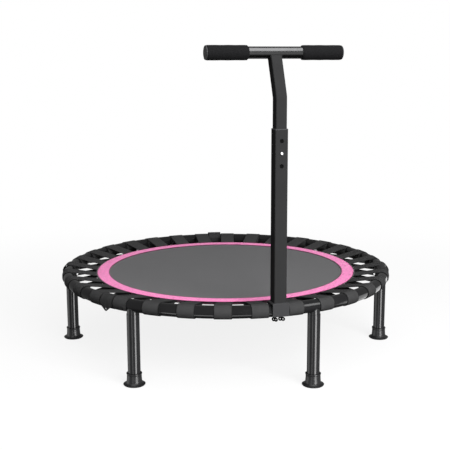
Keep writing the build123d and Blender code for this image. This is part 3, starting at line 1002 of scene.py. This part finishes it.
def make_socket_beads():
    """Weld around each leg socket where it meets the frame tube."""
    radius = LEG_R - 0.0008
    steps = 72
    for index in range(LEG_COUNT):
        place = station(leg_angle(index))
        path = []
        for step in range(steps):
            turn = 2 * math.pi * step / steps
            x, y = radius * math.cos(turn), radius * math.sin(turn)
            z = RING_Z - math.sqrt((TUBE_R + 0.0004) ** 2 - min(abs(x), TUBE_R - 0.0006) ** 2)
            path.append(place @ Vector((x, y, z)))
        bead(f"socket_weld_{index + 1}", path, 0.0010, "frame", "frame")


def square_path(half, corner, steps=9):
    """Points round a square with rounded corners, counter-clockwise."""
    path = []
    for quarter in range(4):
        middle = Matrix.Rotation(quarter * math.pi / 2, 3, "Z") @ Vector((half - corner, half - corner, 0))
        for step in range(steps):
            turn = quarter * math.pi / 2 + math.pi / 2 * step / (steps - 1)
            path.append(middle + corner * Vector((math.cos(turn), math.sin(turn), 0)))
    spaced = []
    for start, end in zip(path, path[1:] + path[:1]):
        pieces = max(1, int((end - start).length / 0.001))
        spaced += [start.lerp(end, piece / pieces) for piece in range(pieces)]
    return spaced


def make_post_weld():
    """Weld round the foot of the lower post on the clamp."""
    place = station(POST_ANGLE, post_low.z)
    path = [place @ point for point in square_path(POST_HALF + 0.0004, 0.003)]
    bead("post_weld", path, 0.0011, "clamp", "frame")


POST_LEAN = math.radians(22)
BAR_NOTCH = 0.0028


def make_bar_weld():
    """Weld where the notched end of the upper post holds the handlebar."""
    axis = (UP * math.cos(POST_LEAN) - OUTWARD * math.sin(POST_LEAN)).normalized()
    away = axis.cross(-ALONG_BAR).normalized()
    centre = bar_centre
    path = []
    for point in square_path(UPPER_HALF + 0.0002, 0.003):
        off_axis = max(-0.97 * BAR_R, min(0.97 * BAR_R, point.x - BAR_NOTCH))
        depth = math.sqrt((BAR_R + 0.0002) ** 2 - off_axis ** 2)
        path.append(centre + ALONG_BAR * point.y + away * off_axis - axis * depth)
    bead("bar_weld", path, 0.0012, "post", "handle")


# ---------------------------------------------------------------- stage, light and camera
FLOOR_HALF = 60.0
FLOOR_GAP = 0.0002
SHADOW_R = 0.6              # the floor is dimmest inside this radius
WHITE_R = 2.2               # and plain white outside this one
FLOOR_GLOW = 0.84           # share of plain white inside the dimmest radius; the rest takes shadows


def make_stage():
    """Pale floor that takes soft shadows near the object and fades to plain white far away."""
    corners = [(x * FLOOR_HALF, y * FLOOR_HALF, 0) for x, y in ((-1, -1), (1, -1), (1, 1), (-1, 1))]
    floor = mesh_object("floor", corners, [(0, 1, 2, 3)], smooth=False)
    floor.location.z = -FLOOR_GAP
    paint = Look("pale_floor", (0.9, 0.9, 0.9), 0.9)
    paint.shade(paint.noise(3, 2), 0.995, 1.005)
    distance = paint.node("ShaderNodeVectorMath", operation="LENGTH")
    paint.put(distance.inputs[0], paint.place())
    fade = paint.node("ShaderNodeMapRange", interpolation_type="SMOOTHSTEP")
    paint.put(fade.inputs["Value"], distance.outputs["Value"])
    fade.inputs["From Min"].default_value = SHADOW_R
    fade.inputs["From Max"].default_value = WHITE_R
    fade.inputs["To Min"].default_value = FLOOR_GLOW
    glow = paint.node("ShaderNodeEmission")
    glow.inputs["Color"].default_value = (1, 1, 1, 1)
    mix = paint.node("ShaderNodeMixShader")
    paint.put(mix.inputs[0], fade.outputs[0])
    paint.put(mix.inputs[1], paint.surface.outputs[0])
    paint.put(mix.inputs[2], glow.outputs[0])
    output = next(node for node in paint.nodes if node.type == "OUTPUT_MATERIAL")
    paint.put(output.inputs["Surface"], mix.outputs[0])
    floor.data.materials.append(paint.material)
    floor.visible_glossy = False
    floor.visible_shadow = False
    floor.visible_diffuse = False


STUDIO_CENTRE = Vector((0, 0, 0.3))
STUDIO_R = 3.0              # distance of every light from the centre
WATTS_PER_RADIANCE = 4.0    # for one square metre of panel


def softbox(name, azimuth, elevation, width, height, radiance, glossy=True, only=None):
    """Rectangular light aimed at the object; azimuth in degrees from -Y towards +X."""
    lamp = bpy.data.lights.new(name, "AREA")
    lamp.shape = "RECTANGLE"
    lamp.size = width
    lamp.size_y = height
    lamp.energy = WATTS_PER_RADIANCE * width * height * radiance
    turn, rise = math.radians(azimuth), math.radians(elevation)
    away = Vector((math.sin(turn) * math.cos(rise), -math.cos(turn) * math.cos(rise), math.sin(rise)))
    light = bpy.data.objects.new(name, lamp)
    light.location = STUDIO_CENTRE + away * STUDIO_R
    light.rotation_euler = away.to_track_quat("Z", "Y").to_euler()
    light.visible_camera = False
    light.visible_glossy = glossy
    light.light_linking.receiver_collection = only
    bpy.context.scene.collection.objects.link(light)


def gather(name, starts):
    """Collection of the pieces whose names start with one of the given words."""
    group = bpy.data.collections.new(name)
    for piece in bpy.data.objects:
        if piece.type == "MESH" and piece.name.startswith(starts):
            group.objects.link(piece)
    return group


def make_lights():
    """Soft key and overhead light, and panels that light only the legs, ring, handlebar or button."""
    legs = gather("legs_and_feet", ("leg_", "socket_weld", "rubber_foot"))
    ring = gather("ring", ("frame_arc",))
    front_arc = gather("front_arc", ("frame_arc_front",))
    bar = gather("bar", ("handlebar",))
    button = gather("button", ("snap_button",))
    off_ring = bpy.data.collections.new("all_but_the_ring")
    for piece in bpy.data.objects:
        if piece.type == "MESH" and piece.name not in ring.objects:
            off_ring.objects.link(piece)
    softbox("key", 28, 18, 2.0, 2.0, 9.0, glossy=False)
    softbox("overhead", 8, 62, 3.2, 3.0, 1.5, only=off_ring)
    softbox("right_strip", 34, -8, 1.2, 3.4, 6.0, only=legs)
    softbox("left_strip", -18, -8, 0.4, 3.4, 1.6, only=legs)
    softbox("left_panel", -88, -4, 2.4, 3.6, 0.8, only=legs)
    softbox("ring_side", 60, 28, 0.9, 1.4, 3.0, only=front_arc)
    softbox("ring_right", 118, -22, 3.6, 1.8, 1.2, only=front_arc)
    softbox("ring_floor", 0, -48, 4.0, 0.8, 2.0, only=front_arc)
    softbox("bar_front", 17, 0, 2.6, 2.4, 0.17, only=bar)
    softbox("button_front", 17, 10, 2.6, 3.0, 1.6, only=button)


def make_world():
    """White where the camera sees it, grey light on matt surfaces and a dark room in glossy reflections."""
    world = bpy.data.worlds.new("studio")
    world.use_nodes = True
    nodes, links = world.node_tree.nodes, world.node_tree.links
    nodes.clear()
    output = nodes.new("ShaderNodeOutputWorld")
    rays = nodes.new("ShaderNodeLightPath")
    shades = {}
    for name in ("seen", "lit", "gloss"):
        shades[name] = nodes.new("ShaderNodeBackground")
        shades[name].inputs["Color"].default_value = (1, 1, 1, 1)
    direction = nodes.new("ShaderNodeSeparateXYZ")
    links.new(nodes.new("ShaderNodeTexCoord").outputs["Generated"], direction.inputs[0])
    for name, (dark_z, bright_z), (dark, bright) in (("gloss", (-0.75, -0.4), (0.02, 0.2)),
                                                     ("lit", (-0.5, 0.0), (0.1, 0.26))):
        below = nodes.new("ShaderNodeMapRange")
        below.inputs["From Min"].default_value = dark_z
        below.inputs["From Max"].default_value = bright_z
        below.inputs["To Min"].default_value = dark
        below.inputs["To Max"].default_value = bright
        links.new(direction.outputs["Z"], below.inputs["Value"])
        links.new(below.outputs[0], shades[name].inputs["Strength"])
    room = nodes.new("ShaderNodeMixShader")
    links.new(rays.outputs["Is Glossy Ray"], room.inputs[0])
    links.new(shades["lit"].outputs[0], room.inputs[1])
    links.new(shades["gloss"].outputs[0], room.inputs[2])
    mix = nodes.new("ShaderNodeMixShader")
    links.new(rays.outputs["Is Camera Ray"], mix.inputs[0])
    links.new(room.outputs[0], mix.inputs[1])
    links.new(shades["seen"].outputs[0], mix.inputs[2])
    links.new(mix.outputs[0], output.inputs["Surface"])
    bpy.context.scene.world = world


CAMERA_TURN = math.radians(0.842)
CAMERA_SIDE = -0.0009
CAMERA_DISTANCE = 2.724
CAMERA_HEIGHT = 0.871
CAMERA_TILT = math.radians(10.52)
CAMERA_ROLL = math.radians(-0.193)
CAMERA_LENS = 70.91


def make_camera():
    lens = bpy.data.cameras.new("camera")
    lens.lens = CAMERA_LENS
    lens.sensor_width = 36.0
    lens.clip_start = 0.05
    camera = bpy.data.objects.new("camera", lens)
    turn = Matrix.Rotation(CAMERA_TURN, 4, "Z")
    place = Matrix.Translation((CAMERA_SIDE, -CAMERA_DISTANCE, CAMERA_HEIGHT))
    tilt = Matrix.Rotation(math.radians(90) - CAMERA_TILT, 4, "X")
    roll = Matrix.Rotation(CAMERA_ROLL, 4, "Z")
    camera.matrix_world = turn @ place @ tilt @ roll
    bpy.context.scene.collection.objects.link(camera)
    bpy.context.scene.camera = camera


# ---------------------------------------------------------------- build
dress_cad_nodes()
make_mat()
make_band()
make_band_cord()
make_under_band()
make_stitches()
for strap_index in range(STRAP_COUNT):
    make_strap(strap_index)
for cover_index, cover_angle in enumerate(JOINT_ANGLES):
    make_cover_wrap(cover_index, cover_angle, BACK_LIFT if math.sin(cover_angle) > 0.9 else 0.0)
    make_cover_flap(cover_index, cover_angle)
for foot_index, foot_name in enumerate(FEET):
    make_foot(foot_name, foot_index)
make_grip("grip_left", -1)
make_grip("grip_right", 1)
make_wing_nut("wing_nut_left", "left_nut")
make_wing_nut("wing_nut_right", "right_nut")
make_socket_beads()
make_post_weld()
make_bar_weld()
make_stage()
make_world()
make_lights()
make_camera()
bpy.context.scene.view_settings.view_transform = "Standard"
